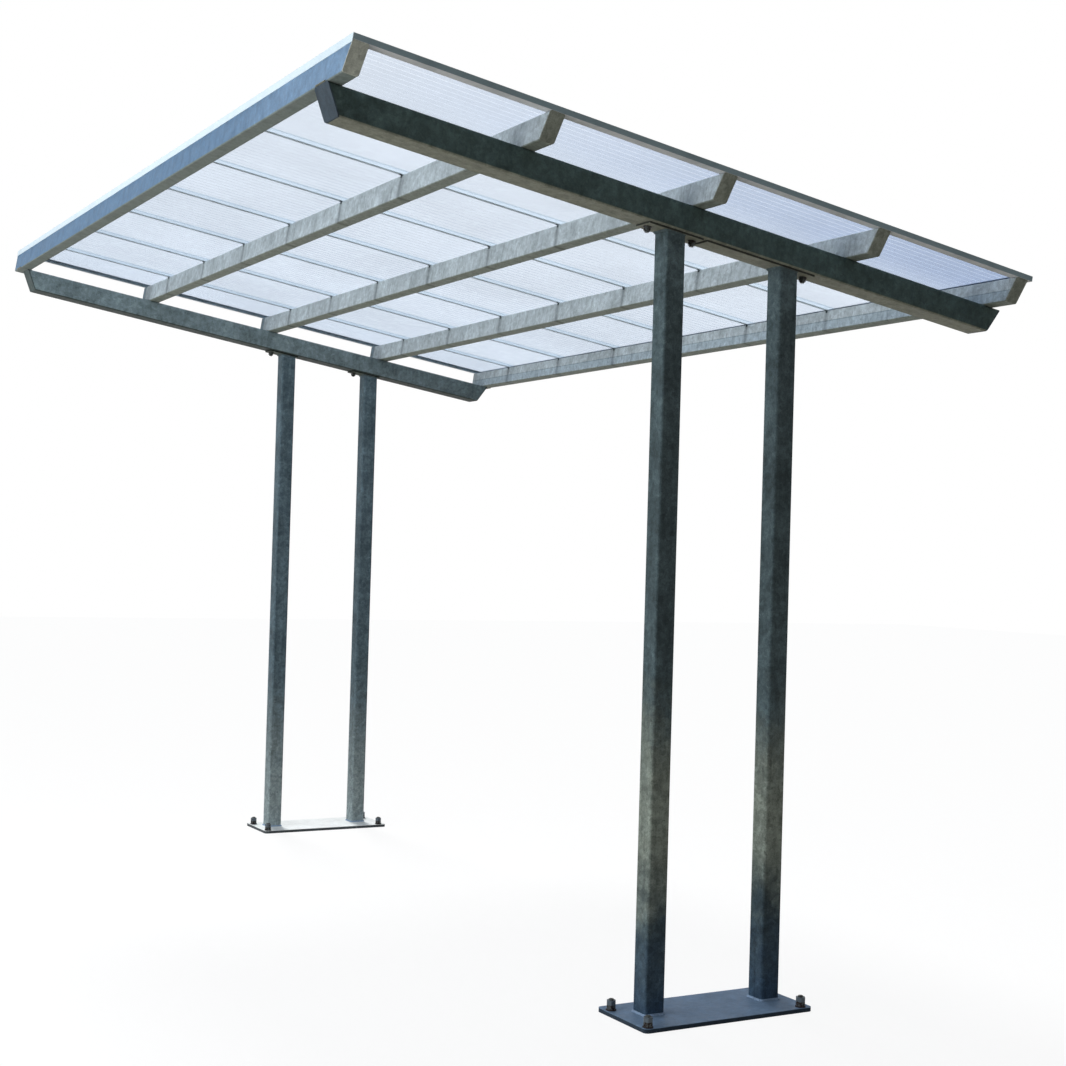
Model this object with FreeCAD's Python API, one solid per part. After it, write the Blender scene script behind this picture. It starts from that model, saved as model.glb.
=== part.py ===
import FreeCAD, Part
import math
import os

# Open metal carport: two frames of square posts carry sloping beams, level rafters and fluted boards.
# Millimetres. X runs along the beams towards the low edge, Y from the near frame to the far one, Z up.
# The origin is the middle of the ground rectangle that the whole carport stands over.

# Roof slope and layout
roof_slope_deg = 8.5
underside_height = 2724.0
frame_spacing = 4150.0
far_frame_shift = 192.0
near_post_spacing = 495.0
far_post_spacing = 510.0

# Posts
post_side = 80.0
post_wall = 5.0
post_corner_radius = 9.0

# Base plates
plate_thickness = 15.0
near_plate_margin_high = 85.0
near_plate_margin_low = 48.0
far_plate_margin_high = 64.0
far_plate_margin_low = 80.0
plate_margin_near = 133.0
plate_margin_far = 97.0
plate_corner_radius = 18.0

# Anchor studs, each with a washer, a nut and a lock nut
stud_diameter = 20.0
stud_tip = 5.0
bolt_hole_clearance = 2.0
anchor_high_distance = 23.0
anchor_low_distance = 39.0
anchor_near_distance = 22.0
anchor_far_distance = 57.0
anchor_washer_diameter = 37.0
anchor_washer_thickness = 3.0
anchor_nut_across_flats = 30.0
anchor_nut_height = 16.0

# Head plates between the posts and the beams, bolted beyond one or both sides of the post
head_plate_width = 86.0
head_plate_thickness = 8.0
head_plate_plain_margin = 5.0
head_plate_bolt_margin = 20.0
head_bolt_stand_off = 55.0
near_low_plate_reach_high = 370.0
head_bolt_diameter = 16.0
head_washer_diameter = 30.0
head_washer_thickness = 3.0
head_nut_across_flats = 24.0
head_nut_height = 13.0
head_bolt_tail = 5.0

# Beams along the slope
beam_width = 110.0
beam_height = 98.0
beam_wall = 5.0
beam_corner_radius = 9.0
near_beam_high_reach = 1345.0
near_beam_low_reach = 1525.0
beam_past_last_rafter = 33.0
far_beam_high_inset = 35.0
far_beam_low_inset = 60.0
beam_end_slant = 54.0
cap_thickness = 5.0

# Rafters across the beams
rafter_count = 5
rafter_width = 55.0
rafter_height = 90.0
rafter_wall = 3.0
rafter_corner_radius = 6.0
rafter_near_overhang = 214.0
rafter_far_overhang = 100.0
rafter_end_slant = 47.0

# Fluted boards
board_width = 580.0
near_board_width = 540.0
narrowest_far_board = 120.0
board_thickness = 16.0
board_skin = 1.2
board_rib = 1.0
flute_count = 14

# Edge trims and joint profiles
sheet_metal = 2.0
joint_flange = 16.0
joint_web = 3.0
near_trim_flange = 38.0
side_trim_flange = 40.0
far_trim_flange = 14.0
trim_upper_flange = 25.0
high_trim_drop = 8.0
low_trim_reach = 22.0
fit_gap = 0.5

# Clips that hold the joint profiles to the rafters
clip_width = 10.0
clip_reach = 9.0
clip_drop = 11.0
clip_thickness = 2.0

# Welds
foot_weld_leg = 7.0
head_weld_leg = 6.0
weld_land = 0.5
rafter_weld_leg = 7.5
rafter_weld_length = 74.0

os.makedirs("parts", exist_ok=True)
slope = math.radians(roof_slope_deg)
half_post = post_side / 2.0
pieces = {}


def vector(x, y, z):
    return FreeCAD.Vector(x, y, z)


def prism(points, direction):
    """Solid swept from a closed outline of straight edges."""
    wire = Part.makePolygon([vector(*p) for p in points] + [vector(*points[0])])
    return Part.Face(wire).extrude(vector(*direction))


def rounded_bar(start, length, width, height, radius):
    """Bar along X with rounded long edges, centred across Y and standing on Z zero."""
    bar = Part.makeBox(length, width, height, vector(start, -width / 2.0, 0))
    long_edges = [e for e in bar.Edges if abs(e.tangentAt(e.FirstParameter).x) > 0.99]
    return bar.makeFillet(radius, long_edges)


def hollow_bar(start, length, width, height, wall, radius):
    outer = rounded_bar(start, length, width, height, radius)
    inner = rounded_bar(start, length, width - 2 * wall, height - 2 * wall, radius - wall / 2.0)
    inner.translate(vector(0, 0, wall))
    return outer.cut(inner)


def capped_member(top_start, top_end, slant_start, slant_end, width, height, wall, radius):
    """Hollow member with ends that lean inwards towards its underside, each closed by a welded cap."""
    def outline(shift_start, shift_end):
        points = [(top_start + shift_start, -width, height),
                  (top_end - shift_end, -width, height),
                  (top_end - slant_end - shift_end, -width, 0),
                  (top_start + slant_start + shift_start, -width, 0)]
        return prism(points, (0, 2 * width, 0))

    def cap_run(slant):
        return cap_thickness * math.hypot(slant, height) / height

    length = top_end - top_start
    whole = outline(0, 0)
    body = outline(cap_run(slant_start), cap_run(slant_end))
    tube = hollow_bar(top_start, length, width, height, wall, radius).common(body)
    solid = rounded_bar(top_start, length, width, height, radius).common(whole)
    caps = solid.cut(body).Solids
    caps.sort(key=lambda cap: cap.BoundBox.XMin)
    return tube, caps


def on_slope(shape, height=0.0):
    """Moves a shape from slope coordinates (along, across, above the beam underside) to the carport."""
    placed = shape.copy()
    placed.translate(vector(0, 0, height))
    placed.rotate(vector(0, 0, 0), vector(0, 1, 0), roof_slope_deg)
    placed.translate(vector(0, 0, underside_height))
    return placed


def along_slope(x):
    """Distance along the beam underside, from the near high post, of the point straight over x."""
    return x / math.cos(slope)


def slope_box(u0, u1, y0, y1, w0, w1):
    return Part.makeBox(u1 - u0, y1 - y0, w1 - w0, vector(u0, y0, w0))


def hexagon(across_flats, height, centre_x, centre_y, base_z):
    radius = across_flats / math.sqrt(3.0)
    points = []
    for k in range(6):
        angle = math.radians(60 * k)
        points.append((centre_x + radius * math.cos(angle), centre_y + radius * math.sin(angle), base_z))
    return prism(points, (0, 0, height))


def ring(outer_diameter, inner_diameter, height, x, y, z):
    disc = Part.makeCylinder(outer_diameter / 2.0, height, vector(x, y, z))
    return disc.cut(Part.makeCylinder(inner_diameter / 2.0, height, vector(x, y, z)))


# Base plates and their anchor bolts
def plate_sides(x, y, spacing, margin_high, margin_low):
    """Lowest and highest X and Y of the base plate under two posts; x, y is the high post's axis."""
    return (x - half_post - margin_high, x + spacing + half_post + margin_low,
            y - half_post - plate_margin_near, y + half_post + plate_margin_far)


base_plates = {"near": plate_sides(0, 0, near_post_spacing, near_plate_margin_high, near_plate_margin_low),
               "far": plate_sides(far_frame_shift, frame_spacing, far_post_spacing,
                                  far_plate_margin_high, far_plate_margin_low)}


def anchor_places(x0, x1, y0, y1):
    return [(x, y) for x in (x0 + anchor_high_distance, x1 - anchor_low_distance)
            for y in (y0 + anchor_near_distance, y1 - anchor_far_distance)]


def anchor_nut(x, y, z):
    nut = hexagon(anchor_nut_across_flats, anchor_nut_height, x, y, z)
    return nut.cut(Part.makeCylinder((stud_diameter + fit_gap) / 2.0, anchor_nut_height, vector(x, y, z)))


studs, washers, nuts, lock_nuts = [], [], [], []
nut_base = plate_thickness + anchor_washer_thickness
lock_nut_base = nut_base + anchor_nut_height
stud_top = lock_nut_base + anchor_nut_height + stud_tip
for name, (x0, x1, y0, y1) in base_plates.items():
    plate = Part.makeBox(x1 - x0, y1 - y0, plate_thickness, vector(x0, y0, 0))
    corners = [e for e in plate.Edges if abs(e.tangentAt(e.FirstParameter).z) > 0.99]
    plate = plate.makeFillet(plate_corner_radius, corners)
    hole_radius = (stud_diameter + bolt_hole_clearance) / 2.0
    for x, y in anchor_places(x0, x1, y0, y1):
        plate = plate.cut(Part.makeCylinder(hole_radius, plate_thickness, vector(x, y, 0)))
        studs.append(Part.makeCylinder(stud_diameter / 2.0, stud_top, vector(x, y, 0)))
        washers.append(ring(anchor_washer_diameter, stud_diameter + fit_gap, anchor_washer_thickness,
                            x, y, plate_thickness))
        nuts.append(anchor_nut(x, y, nut_base))
        lock_nuts.append(anchor_nut(x, y, lock_nut_base))
    pieces[name + "_base_plate"] = plate
pieces["anchor_studs"] = Part.makeCompound(studs)
pieces["anchor_washers"] = Part.makeCompound(washers)
pieces["anchor_nuts"] = Part.makeCompound(nuts)
pieces["anchor_lock_nuts"] = Part.makeCompound(lock_nuts)


# Posts, cut to the slope under their head plates
def post(x, y):
    tall = underside_height + near_post_spacing
    column = hollow_bar(0, tall, post_side, post_side, post_wall, post_corner_radius)
    column.rotate(vector(0, 0, 0), vector(0, 1, 0), -90)
    column.translate(vector(x + half_post, y, plate_thickness))
    above = slope_box(-2 * tall, 2 * tall, y - post_side, y + post_side, 0, tall)
    return column.cut(on_slope(above, -head_plate_thickness))


post_places = {"near_high": (0.0, 0.0),
               "near_low": (near_post_spacing, 0.0),
               "far_high": (far_frame_shift, frame_spacing),
               "far_low": (far_frame_shift + far_post_spacing, frame_spacing)}
for name, (x, y) in post_places.items():
    pieces[name + "_post"] = post(x, y)


# Fillet welds round the feet and the heads of the posts
def weld_ring(length, width, leg, corner_radius):
    """Bead round a rectangle on Z zero, centred, with its outer face sloping from foot to top."""
    outer = rounded_bar(0, leg, width + 2 * leg, length + 2 * leg, corner_radius + leg)
    outer.rotate(vector(0, 0, 0), vector(0, 1, 0), -90)
    outer.translate(vector(length / 2.0 + leg, 0, 0))
    rim = [e for e in outer.Edges if e.BoundBox.ZMin > leg - weld_land]
    return outer.makeChamfer(leg - weld_land, rim)


def post_solid(x, y):
    bar = rounded_bar(0, underside_height, post_side, post_side, post_corner_radius)
    bar.rotate(vector(0, 0, 0), vector(0, 1, 0), -90)
    bar.translate(vector(x + half_post, y, plate_thickness))
    return bar


foot_welds, head_welds = [], []
for x, y in post_places.values():
    foot = weld_ring(post_side, post_side, foot_weld_leg, post_corner_radius)
    foot.translate(vector(x, y, plate_thickness))
    foot_welds.append(foot.cut(post_solid(x, y)))
    head = weld_ring(post_side / math.cos(slope), post_side, head_weld_leg, post_corner_radius)
    head.rotate(vector(0, 0, 0), vector(1, 0, 0), 180)
    middle = along_slope(x) - head_plate_thickness * math.tan(slope)
    head.translate(vector(middle, y, -head_plate_thickness))
    head_welds.append(on_slope(head).cut(post_solid(x, y)))
pieces["foot_welds"] = Part.makeCompound(foot_welds)
pieces["head_welds"] = Part.makeCompound(head_welds)


# Head plates and their bolts: -1 is the high side of the post and 1 the low side
bolted_sides = {"near_high": (-1, 1), "near_low": (1,), "far_high": (-1,), "far_low": (-1,)}
plain_reach = half_post / math.cos(slope) + head_weld_leg + head_plate_plain_margin
bolt_reach = half_post + head_bolt_stand_off
washer_base = -head_plate_thickness - head_washer_thickness
head_nut_base = washer_base - head_nut_height
bolt_end = head_nut_base - head_bolt_tail
head_bolts, head_washers, head_nuts = [], [], []
for name, (x, y) in post_places.items():
    centre = along_slope(x)
    reach = {side: bolt_reach + head_plate_bolt_margin if side in bolted_sides[name] else plain_reach
             for side in (-1, 1)}
    if name == "near_low":
        reach[-1] = near_low_plate_reach_high
    plate = slope_box(centre - reach[-1], centre + reach[1],
                      y - head_plate_width / 2.0, y + head_plate_width / 2.0, -head_plate_thickness, 0)
    for side in bolted_sides[name]:
        u = centre + side * bolt_reach
        hole_radius = (head_bolt_diameter + bolt_hole_clearance) / 2.0
        plate = plate.cut(Part.makeCylinder(hole_radius, head_plate_thickness,
                                            vector(u, y, -head_plate_thickness)))
        head_bolts.append(Part.makeCylinder(head_bolt_diameter / 2.0, -bolt_end, vector(u, y, bolt_end)))
        head_washers.append(ring(head_washer_diameter, head_bolt_diameter + fit_gap, head_washer_thickness,
                                 u, y, washer_base))
        nut = hexagon(head_nut_across_flats, head_nut_height, u, y, head_nut_base)
        head_nuts.append(nut.cut(Part.makeCylinder((head_bolt_diameter + fit_gap) / 2.0, head_nut_height,
                                                   vector(u, y, head_nut_base))))
    pieces[name + "_head_plate"] = on_slope(plate)
pieces["head_bolts"] = on_slope(Part.makeCompound(head_bolts))
pieces["head_washers"] = on_slope(Part.makeCompound(head_washers))
pieces["head_nuts"] = on_slope(Part.makeCompound(head_nuts))

# Beams
far_beam_high_reach = near_beam_high_reach - far_beam_high_inset
far_beam_low_reach = near_beam_low_reach - far_beam_low_inset
for name, y, high, low in (("near", 0.0, near_beam_high_reach, near_beam_low_reach),
                           ("far", frame_spacing, far_beam_high_reach, far_beam_low_reach)):
    tube, caps = capped_member(-high, low, beam_end_slant, beam_end_slant,
                               beam_width, beam_height, beam_wall, beam_corner_radius)
    tube.translate(vector(0, y, 0))
    ends = Part.makeCompound(caps)
    ends.translate(vector(0, y, 0))
    pieces[name + "_beam"] = on_slope(tube)
    pieces[name + "_beam_end_caps"] = on_slope(ends)

# Rafters, spread evenly from the near beam's high end to a little before its low end
rafter_start = -rafter_near_overhang
rafter_end = frame_spacing + rafter_far_overhang
first_rafter = -near_beam_high_reach + rafter_width / 2.0
last_rafter = near_beam_low_reach - beam_past_last_rafter - rafter_width / 2.0
rafter_pitch = (last_rafter - first_rafter) / (rafter_count - 1)
rafter_places = [first_rafter + k * rafter_pitch for k in range(rafter_count)]
near_caps, far_caps = [], []
for k, place in enumerate(rafter_places):
    tube, caps = capped_member(rafter_start, rafter_end, rafter_end_slant, 0.0,
                               rafter_width, rafter_height, rafter_wall, rafter_corner_radius)
    for shape in [tube] + caps:
        shape.rotate(vector(0, 0, 0), vector(0, 0, 1), 90)
        shape.translate(vector(place, 0, beam_height))
    pieces["rafter_%d" % (k + 1)] = on_slope(tube)
    near_caps.append(on_slope(caps[0]))
    far_caps.append(on_slope(caps[1]))
pieces["rafter_near_caps"] = Part.makeCompound(near_caps)
pieces["rafter_far_caps"] = Part.makeCompound(far_caps)

# Weld beads along both lower edges of each rafter, on the beam tops
def rafter_bead(place, side, y):
    face = place + side * rafter_width / 2.0
    inner = face - side * rafter_corner_radius
    y0 = y - rafter_weld_length / 2.0
    bead = prism([(face + side * rafter_weld_leg, y0, beam_height),
                  (face, y0, beam_height + rafter_weld_leg),
                  (inner, y0, beam_height + rafter_weld_leg),
                  (inner, y0, beam_height)], (0, rafter_weld_length, 0))
    bar = rounded_bar(rafter_start, rafter_end - rafter_start, rafter_width, rafter_height,
                      rafter_corner_radius)
    bar.rotate(vector(0, 0, 0), vector(0, 0, 1), 90)
    bar.translate(vector(place, 0, beam_height))
    return bead.cut(bar)


beads = [rafter_bead(place, side, y) for place in rafter_places for side in (-1, 1)
         for y in (0.0, frame_spacing)]
pieces["rafter_welds"] = on_slope(Part.makeCompound(beads))

# Roof skin, measured above the rafter tops
rafter_top = beam_height + rafter_height
roof_high = -near_beam_high_reach - fit_gap - sheet_metal
roof_low = last_rafter + rafter_width / 2.0 + low_trim_reach
roof_near = rafter_start
roof_far = rafter_end
board_base = sheet_metal
board_top = sheet_metal + board_thickness
skin_top = board_top + sheet_metal

roof_run = roof_far - roof_near - near_board_width - narrowest_far_board
joint_count = 1 + math.floor(roof_run / board_width)
joint_places = [roof_near + near_board_width + k * board_width for k in range(joint_count)]
board_edges = [roof_near + sheet_metal + fit_gap]
for joint in joint_places:
    board_edges += [joint - joint_web / 2.0 - fit_gap, joint + joint_web / 2.0 + fit_gap]
board_edges.append(roof_far - sheet_metal - fit_gap)


def fluted_board(y0, y1):
    u0 = roof_high + sheet_metal + fit_gap
    u1 = roof_low - sheet_metal - fit_gap
    board = slope_box(u0, u1, y0, y1, board_base, board_top)
    cell = (y1 - y0 - board_rib) / flute_count
    cells = []
    for k in range(flute_count):
        start = y0 + board_rib + k * cell
        cells.append(slope_box(u0, u1, start, start + cell - board_rib, board_base + board_skin,
                               board_top - board_skin))
    return board.cut(Part.makeCompound(cells))


for k in range(joint_count + 1):
    board = fluted_board(board_edges[2 * k], board_edges[2 * k + 1])
    pieces["roof_board_%d" % (k + 1)] = on_slope(board, rafter_top)

# Joint profiles: an upright web with a flange under and over the two boards that it joins
profiles = []
for joint in joint_places:
    u0 = roof_high + sheet_metal + side_trim_flange + fit_gap
    u1 = roof_low - sheet_metal - side_trim_flange - fit_gap
    web = slope_box(u0, u1, joint - joint_web / 2.0, joint + joint_web / 2.0, 0, skin_top)
    under = slope_box(u0, u1, joint - joint_flange / 2.0, joint + joint_flange / 2.0, 0, sheet_metal)
    over = slope_box(u0, u1, joint - joint_flange / 2.0, joint + joint_flange / 2.0, board_top, skin_top)
    profiles.append(web.fuse([under, over]).removeSplitter())
pieces["joint_profiles"] = on_slope(Part.makeCompound(profiles), rafter_top)

# Clips under the joint profiles, on the high side of every rafter but the first
clips = []
for place in rafter_places[1:]:
    for joint in joint_places:
        face = place - rafter_width / 2.0
        y0 = joint - clip_width / 2.0
        y1 = joint + clip_width / 2.0
        upright = slope_box(face - clip_thickness, face, y0, y1, -clip_drop, 0)
        level = slope_box(face - clip_reach, face, y0, y1, -clip_thickness, 0)
        clips.append(upright.fuse(level).removeSplitter())
pieces["joint_clips"] = on_slope(Part.makeCompound(clips), rafter_top)


# Edge trims: a face plate with a flange under and over the boards
def cross_trim(face, inward, under_depth, over_depth, u0, u1):
    """Trim along the slope; inward is +1 or -1 along Y."""
    def strip(depth, w0, w1):
        y0, y1 = sorted((face, face + inward * depth))
        return slope_box(u0, u1, y0, y1, w0, w1)
    parts = [strip(sheet_metal, 0, skin_top), strip(under_depth, 0, sheet_metal),
             strip(over_depth, board_top, skin_top)]
    return parts[0].fuse(parts[1:]).removeSplitter()


def side_trim(face, inward, drop):
    """Trim along the rafters; inward is +1 or -1 along the slope."""
    def strip(depth, w0, w1, y0, y1):
        u0, u1 = sorted((face, face + inward * depth))
        return slope_box(u0, u1, y0, y1, w0, w1)
    under_near = roof_near + near_trim_flange + fit_gap
    over_near = roof_near + trim_upper_flange + fit_gap
    far = roof_far - far_trim_flange - fit_gap
    parts = [strip(sheet_metal, -drop, skin_top, roof_near, roof_far),
             strip(side_trim_flange, 0, sheet_metal, under_near, far),
             strip(side_trim_flange, board_top, skin_top, over_near, far)]
    return parts[0].fuse(parts[1:]).removeSplitter()


inner_high = roof_high + sheet_metal
inner_low = roof_low - sheet_metal
near_trim = cross_trim(roof_near, 1, near_trim_flange, trim_upper_flange, inner_high, inner_low)
far_trim = cross_trim(roof_far, -1, far_trim_flange, far_trim_flange, inner_high, inner_low)
pieces["near_edge_trim"] = on_slope(near_trim, rafter_top)
pieces["far_edge_trim"] = on_slope(far_trim, rafter_top)
pieces["high_edge_flashing"] = on_slope(side_trim(roof_high, 1, high_trim_drop), rafter_top)
pieces["low_edge_trim"] = on_slope(side_trim(roof_low, -1, 0), rafter_top)

# Shift to the origin and write one file a piece
box = Part.makeCompound(list(pieces.values())).BoundBox
to_origin = vector(-(box.XMin + box.XMax) / 2.0, -(box.YMin + box.YMax) / 2.0, -box.ZMin)
for name, shape in pieces.items():
    shape.translate(to_origin)
    shape.exportStep("parts/" + name + ".step")
print("origin shift", to_origin, "box", box.XLength, box.YLength, box.ZLength)
for name in sorted(pieces):
    print(name, len(pieces[name].Solids), pieces[name].isValid(), round(pieces[name].Volume))
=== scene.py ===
import math
from collections import namedtuple

import bpy
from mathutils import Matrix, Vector


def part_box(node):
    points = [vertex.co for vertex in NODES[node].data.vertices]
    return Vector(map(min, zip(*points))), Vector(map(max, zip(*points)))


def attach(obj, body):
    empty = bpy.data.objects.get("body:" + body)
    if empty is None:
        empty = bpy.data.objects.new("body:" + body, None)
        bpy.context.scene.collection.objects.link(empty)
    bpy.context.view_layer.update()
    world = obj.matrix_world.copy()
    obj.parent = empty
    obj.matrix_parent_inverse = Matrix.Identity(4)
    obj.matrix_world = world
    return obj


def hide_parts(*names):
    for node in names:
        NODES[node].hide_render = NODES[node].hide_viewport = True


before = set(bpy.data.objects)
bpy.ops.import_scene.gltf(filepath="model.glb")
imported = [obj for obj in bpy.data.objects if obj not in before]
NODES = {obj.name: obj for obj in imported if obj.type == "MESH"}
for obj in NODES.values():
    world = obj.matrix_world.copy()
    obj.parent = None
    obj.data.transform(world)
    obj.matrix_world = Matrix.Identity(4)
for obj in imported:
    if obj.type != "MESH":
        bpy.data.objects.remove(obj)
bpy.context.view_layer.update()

bl_info = {
    "name": "Galvanised carport",
    "version": (1, 0, 0),
    "blender": (4, 5, 0),
    "location": "3D View > Sidebar > Carport",
    "description": "Finishes and fine parts of an open steel carport with a fluted translucent roof",
    "category": "Object",
}

MM = 0.001
ROOF_SLOPE = math.radians(8.5)
ROOF_NORMAL = Vector((math.sin(ROOF_SLOPE), 0.0, math.cos(ROOF_SLOPE)))


def linear(hex_colour):
    """Turns an sRGB hex colour such as #a0b0c0 into the linear values that shaders take."""
    parts = [int(hex_colour[k:k + 2], 16) / 255 for k in (1, 3, 5)]
    return tuple(c / 12.92 if c <= 0.04045 else ((c + 0.055) / 1.055) ** 2.4 for c in parts)


def opaque(colour):
    return (*colour[:3], 1.0)


def colour_setting(name, hex_colour, description):
    return bpy.props.FloatVectorProperty(name=name, description=description, subtype="COLOR", size=3,
                                         min=0.0, max=1.0, default=linear(hex_colour))


def length_setting(name, metres, description):
    return bpy.props.FloatProperty(name=name, description=description, default=metres, min=0.0,
                                   unit="LENGTH", subtype="DISTANCE")


def share_setting(name, share, description):
    return bpy.props.FloatProperty(name=name, description=description, default=share, subtype="FACTOR",
                                   min=0.0, max=1.0)


def angle_setting(name, degrees, description):
    return bpy.props.FloatProperty(name=name, description=description, default=math.radians(degrees),
                                   unit="ROTATION", subtype="ANGLE")


# Settings

class SteelSettings(bpy.types.PropertyGroup):
    near_post_colour: colour_setting("Near post zinc", "#525f62", "Dark weathered zinc on the near posts")
    far_post_colour: colour_setting("Far post zinc", "#5c6c74", "Weathered zinc on the far posts")
    beam_colour: colour_setting("Near beam zinc", "#4a5957", "Dark weathered zinc on the near beam")
    # Painted light: the far beam is a paler copy of the near beam's zinc
    far_beam_lit_colour: colour_setting("Far beam zinc", "#7f8e92", "Zinc painted paler on the far beam, as the light from the boards above")
    rafter_colour: colour_setting("Rafter zinc", "#b6bec1", "Pale mottled zinc on the rafters")
    # Painted skylight: the high edge rafter is a bluish copy of the rafters' zinc
    first_rafter_skylit_colour: colour_setting("First rafter zinc", "#7a94b0", "Zinc painted bluish with skylight on the high edge rafter")
    # Painted bounce light on the near beam's underside; also the zinc of the near head plates and the rafter
    # welds
    bounce_lit_zinc_colour: colour_setting("Bounce-lit zinc", "#8d8d80", "Paler, browner zinc; painted bounce light on the near beam's underside")
    dusty_colour: colour_setting("Dusty bloom", "#9b9f91", "Pale dust on the posts above the wet foot")
    foot_colour: colour_setting("Damp foot", "#3c4f63", "Dark blue-grey foot of the near posts")
    near_plate_colour: colour_setting("Near base plate zinc", "#788da5", "Blue-grey zinc on the near plate")
    # Painted sunlight: the far plate's zinc is made near white
    far_plate_sunlit_colour: colour_setting("Far base plate zinc", "#eef0ee", "Zinc painted near white with sunlight on the far plate")
    plate_edge_colour: colour_setting("Plate edges", "#232b33", "Dark cut edges of the plates")
    # Painted sunlight on the low part of the far posts
    far_foot_sunlight_colour: colour_setting("Far post foot sunlight", "#9faaaa", "Painted sunlight, paler towards the far posts' feet")
    near_cap_colour: colour_setting("Near beam caps", "#454f58", "Dark zinc on the near beam's end caps")
    far_cap_colour: colour_setting("Far beam caps", "#4c5655", "Dark zinc on the far beam's end caps")
    far_beam_low_colour: colour_setting("Far beam, low end", "#4f5a5d", "Darker zinc down the far beam")
    # Painted shade on the far beam's underside
    far_underside_shade_colour: colour_setting("Far underside shade", "#3a403c", "Painted shade on the far beam's underside")
    far_head_colour: colour_setting("Far head plates", "#5b6158", "Dull zinc on the far head plates")
    # Painted shade in the crevice between the head plates and the beam
    crevice_shade_colour: colour_setting("Crevice shade", "#15191a", "Painted shade in the crevice over the head plates")
    # Painted shade under the rafters, tinted like the floor's bounce light
    rafter_underside_shade_colour: colour_setting("Rafter underside shade", "#7f8479", "Painted shade under the rafters, browner as the floor's bounce")
    rafter_end_colour: colour_setting("Rafter far end", "#5f737f", "Shaded last stretch of the rafters")
    below_line_colour: colour_setting("Below the mid line", "#93a6b3", "Bluer below the mid line of the low edge rafter")
    mid_line_colour: colour_setting("Mid line", "#69797f", "Darker line at half the low edge rafter's height")
    # Painted skylight along the high edge rafter
    first_far_skylit_colour: colour_setting("First rafter, far", "#617c98", "Painted skylight, bluer along the first rafter")
    near_end_colour: colour_setting("Rafter near caps", "#8b8e84", "Brownish zinc on the near end caps")
    first_end_colour: colour_setting("First near cap", "#b9bab0", "Paler zinc on the first near end cap")
    far_end_colour: colour_setting("Rafter far caps", "#5d6b73", "Dark zinc on the far end caps")
    weld_colour: colour_setting("Weld beads", "#90a4bc", "Pale zinc over the weld beads")


class RoofSettings(bpy.types.PropertyGroup):
    board_colour: colour_setting("Board", "#eceff5", "Milky blue-white of the fluted boards")
    rib_colour: colour_setting("Board ribs", "#8496b0", "Greyer blue of the ribs inside the boards")
    dusty_rib_colour: colour_setting("Dusty rib tint", "#eef0f2", "Light that a rib lets on, near edge")
    clean_rib_colour: colour_setting("Clean rib tint", "#fcfdfe", "Light that a rib lets on, far boards")
    washed_colour: colour_setting("Washed dirt", "#a9b9d0", "Dirt at the low end of the near overhang")
    washed_rib_colour: colour_setting("Washed rib tint", "#dde2ec", "Light that a rib's face lets on there")
    clear_colour: colour_setting("Clear plastic", "#fdfeff", "Light that a clean face lets on")
    clip_colour: colour_setting("Clips", "#3f4649", "Dark zinc on the joint clips")
    clip_dirt_colour: colour_setting("Clip dirt", "#2a2a29", "Dirt on the joint clips")
    skin_tint: colour_setting("Skin tint", "#f4f6f8", "Light that a skin's face lets on, far boards")
    joint_colour: colour_setting("Joint profiles", "#b4b9b9", "Greyed clear plastic of the joint profiles")
    joint_clear_colour: colour_setting("Clear joints", "#f4f8fa", "Light that the joint profiles let on")
    trim_colour: colour_setting("Edge trims", "#92a3a9", "Dull blue-grey aluminium of the folded trims")
    trim_underside_light_colour: colour_setting("Trim underside light", "#eeedf0", "Painted light, paler under the trims")
    # Lighter mill aluminium, with painted sky reflection making it near white and bluish
    flashing_sky_reflection_colour: colour_setting("High edge flashing", "#e6f3fb", "Mill aluminium at the high edge, painted near white and bluish as sky reflection")
    top_skin_clear: share_setting("Top skin clearness", 0.22, "Share of light that the top skin lets through")
    skin_clear: share_setting("Inner face clearness", 0.98, "Share of light that other skin faces let through")
    rib_clear: share_setting("Rib clearness", 0.985, "Share of light that each rib face lets through")


class BoltSettings(bpy.types.PropertyGroup):
    zinc_colour: colour_setting("Bolt zinc", "#5d666d", "Zinc on the studs and lock nuts")
    dull_zinc_colour: colour_setting("Dull bolt zinc", "#4d5150", "Dulled zinc on the head bolts")
    rust_colour: colour_setting("Rust", "#2b1f1d", "Brown rust on the washers and nuts")
    anchor_diameter: length_setting("Anchor stud diameter", 0.020, "Outside of the stud's thread")
    anchor_thread: length_setting("Anchor thread", 0.038, "Threaded length at the top of the stud")
    anchor_pitch: length_setting("Thread pitch", 0.0025, "Rise of the thread in one turn")
    anchor_nut_width: length_setting("Anchor nut width", 0.030, "Across the flats")
    head_nut_width: length_setting("Head nut width", 0.024, "Across the flats")
    head_nut_height: length_setting("Head nut height", 0.013, "From face to face")
    head_bolt_diameter: length_setting("Head bolt diameter", 0.016, "Outside of the bolt's thread")
    bore_play: length_setting("Bore play", 0.0005, "How much wider than its bolt a nut's bore is")


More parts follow.
